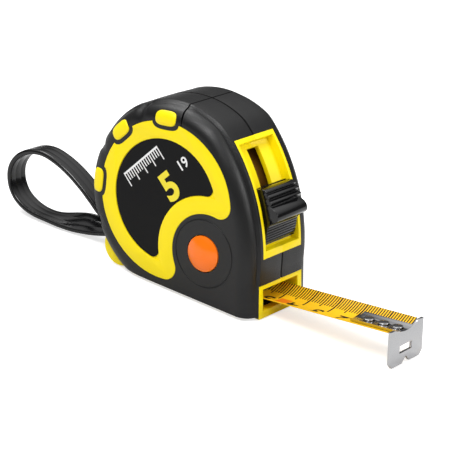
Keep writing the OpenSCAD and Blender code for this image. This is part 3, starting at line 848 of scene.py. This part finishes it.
STRAP_PATH = [
    (-28, 0, 8.9), (-33, -0.5, 8.8), (-38, -1, 10.8), (-42.5, -1.3, 14.2), (-47, -1.6, 17.6),
    (-53, -2, 21.3), (-59.5, -2.3, 24), (-66, -2.6, 25.2), (-72, -3, 24), (-77, -3.3, 20.5),
    (-79.5, -3.5, 15.5), (-79, -3.5, 10), (-76, -3.6, 5.6), (-71, -3.7, 2.9), (-65, -3.7, 1.8),
    (-58, -3.5, 2), (-51, -3.1, 3), (-45, -2.5, 4), (-39, -1.8, 4.6), (-33, -0.8, 5), (-28, 0, 5.5)]
STRAP_W, STRAP_T = 9.0, 2.0
RIB_STEP, RIB_DEEP, EDGE_ROUND = 2.9, 0.16, 0.9
# The lower run twists between two shares of the strap's length
TWIST, TWIST_START, TWIST_RUN = math.radians(38), 0.71, 0.27

line = smooth_path(STRAP_PATH, 6)
upper = []
for k in range(49):
    y = -STRAP_W / 2 + STRAP_W * k / 48
    edge = min(1.0, (STRAP_W / 2 - abs(y)) / EDGE_ROUND)
    swell = math.sqrt(max(0.0, 1 - (1 - edge) ** 2))
    ribs = RIB_DEEP * (abs(math.cos(math.pi * y / RIB_STEP)) ** 0.35 - 1) * min(1.0, edge * 1.5)
    upper.append((y, swell * STRAP_T / 2 + ribs))
section = upper + [(y, -h) for y, h in upper[-2:0:-1]]
rings = []
for k, p in enumerate(line):
    ahead = (line[min(k + 1, len(line) - 1)] - line[max(k - 1, 0)]).normalized()
    wide = (Vector((0, 1, 0)) - ahead * ahead.y).normalized()
    run = (k / (len(line) - 1) - TWIST_START) / TWIST_RUN
    twist = TWIST * math.sin(math.pi * run) ** 2 if 0 < run < 1 else 0
    wide = Matrix.Rotation(twist, 3, ahead) @ wide
    thick = wide.cross(ahead)
    rings.append([p + wide * y + thick * h for y, h in section])
strap = loft("wrist_strap_loop", rings)
smooth(strap, 50)
strap_look = moulded_look("strap_vinyl", (0.004, 0.004, 0.0045), 0.2, 0.5, 0.1, 0.1, (0.003, 0.003, 0.0035))
strap.data.materials.append(strap_look)
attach(strap, "case")
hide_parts("wrist_strap")

anchor = rounded_copy("strap_anchor", "strap_eye", strap_look, 0.4, 3, 35)
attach(anchor, "case")
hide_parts("strap_anchor")

# ---------------------------------------------------------------------------------------
# Button spring. A blued leaf that bends between its eye on the low screw post, which stays
# with the case, and its ring under the button.

spring_look = plated_look("blued_spring", (0.25, 0.28, 0.36), 0.3, (1, 8, 1))
leaf = copy_of("button_spring", "button_leaf_spring")
b = bmesh.new()
b.from_mesh(leaf.data)
bmesh.ops.triangulate(b, faces=b.faces)
long_edges = [e for e in b.edges if e.calc_length() > 1.5 * MM]
bmesh.ops.subdivide_edges(b, edges=long_edges, cuts=5)
bmesh.ops.triangulate(b, faces=b.faces)
b.to_mesh(leaf.data)
b.free()
smooth(leaf, 40)
leaf.data.materials.append(spring_look)
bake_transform(leaf)
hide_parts("button_spring")

# ---------------------------------------------------------------------------------------
# Inner pieces. Acetal spool and lock carrier, blued mainspring, plated axle, pin, washers and
# screws, black rubber bumper and pads: CAD shapes with real finishes. The wound blade's CAD shape
# carries painted shade instead: dark brown in place of its amber lacquer.

acetal_look = moulded_look("acetal", (0.72, 0.72, 0.68), 0.45, 0.6, 0.1)
soft_look = moulded_look("soft_black", (0.02, 0.02, 0.02), 0.75, 0.3, 0.3)
# Half the distance from one turn of the wound blade to the next
HALF_TURN = 0.2


def coil_look():
    """Wound blade: painted shade, dark brown for the shade inside the case rather than the blade's amber
    lacquer, and darkest in a line at the edge of every turn, where the turns shade each other.
    """
    look, tree, shader = new_look("wound_blade")
    shift, reach = tree.nodes.new("ShaderNodeVectorMath"), tree.nodes.new("ShaderNodeVectorMath")
    shift.operation, reach.operation = "MULTIPLY_ADD", "LENGTH"
    shift.inputs[1].default_value = (1 / MM, 0, 1 / MM)
    shift.inputs[2].default_value = (0, 0, -BACK_CENTRE.y)
    tree.links.new(tree.nodes.new("ShaderNodeTexCoord").outputs["Object"], shift.inputs[0])
    tree.links.new(shift.outputs["Vector"], reach.inputs[0])
    turns = calc(tree, "PINGPONG", reach.outputs["Value"], HALF_TURN)
    shade = remap(tree, turns, 0, HALF_TURN, 0, 1)
    # Painted shade: dark brown for the shade inside the case, darkest at the edge of each turn.
    painted_coil_shade = mix_colours(tree, shade, (0.05, 0.02, 0.004), (0.3, 0.13, 0.012))
    tree.links.new(painted_coil_shade, shader.inputs["Base Color"])
    raise_surface(tree, shader, shade, 0.4, 0.0001)
    shader.inputs["Roughness"].default_value = 0.5
    shader.inputs["Specular IOR Level"].default_value = 0.25
    return look


# Real finishes for the inner pieces, except the wound blade, whose look is painted shade.
FINISHES_AND_PAINTED_SHADE = {
    "spool_drum": acetal_look, "spool_cover": acetal_look, "lock_carrier": gloss_black,
    "mainspring": spring_look, "blade_coil": coil_look(),
    "spool_axle": steel_look, "axle_washers": steel_look, "strap_pin": steel_look, "case_screws": steel_look,
    "blade_guard": soft_look, "brake_pad": soft_look, "lock_pad": soft_look,
}
for node, look in FINISHES_AND_PAINTED_SHADE.items():
    for holder in nodes[node].material_slots:
        holder.material = look
    if not nodes[node].material_slots:
        nodes[node].data.materials.append(look)
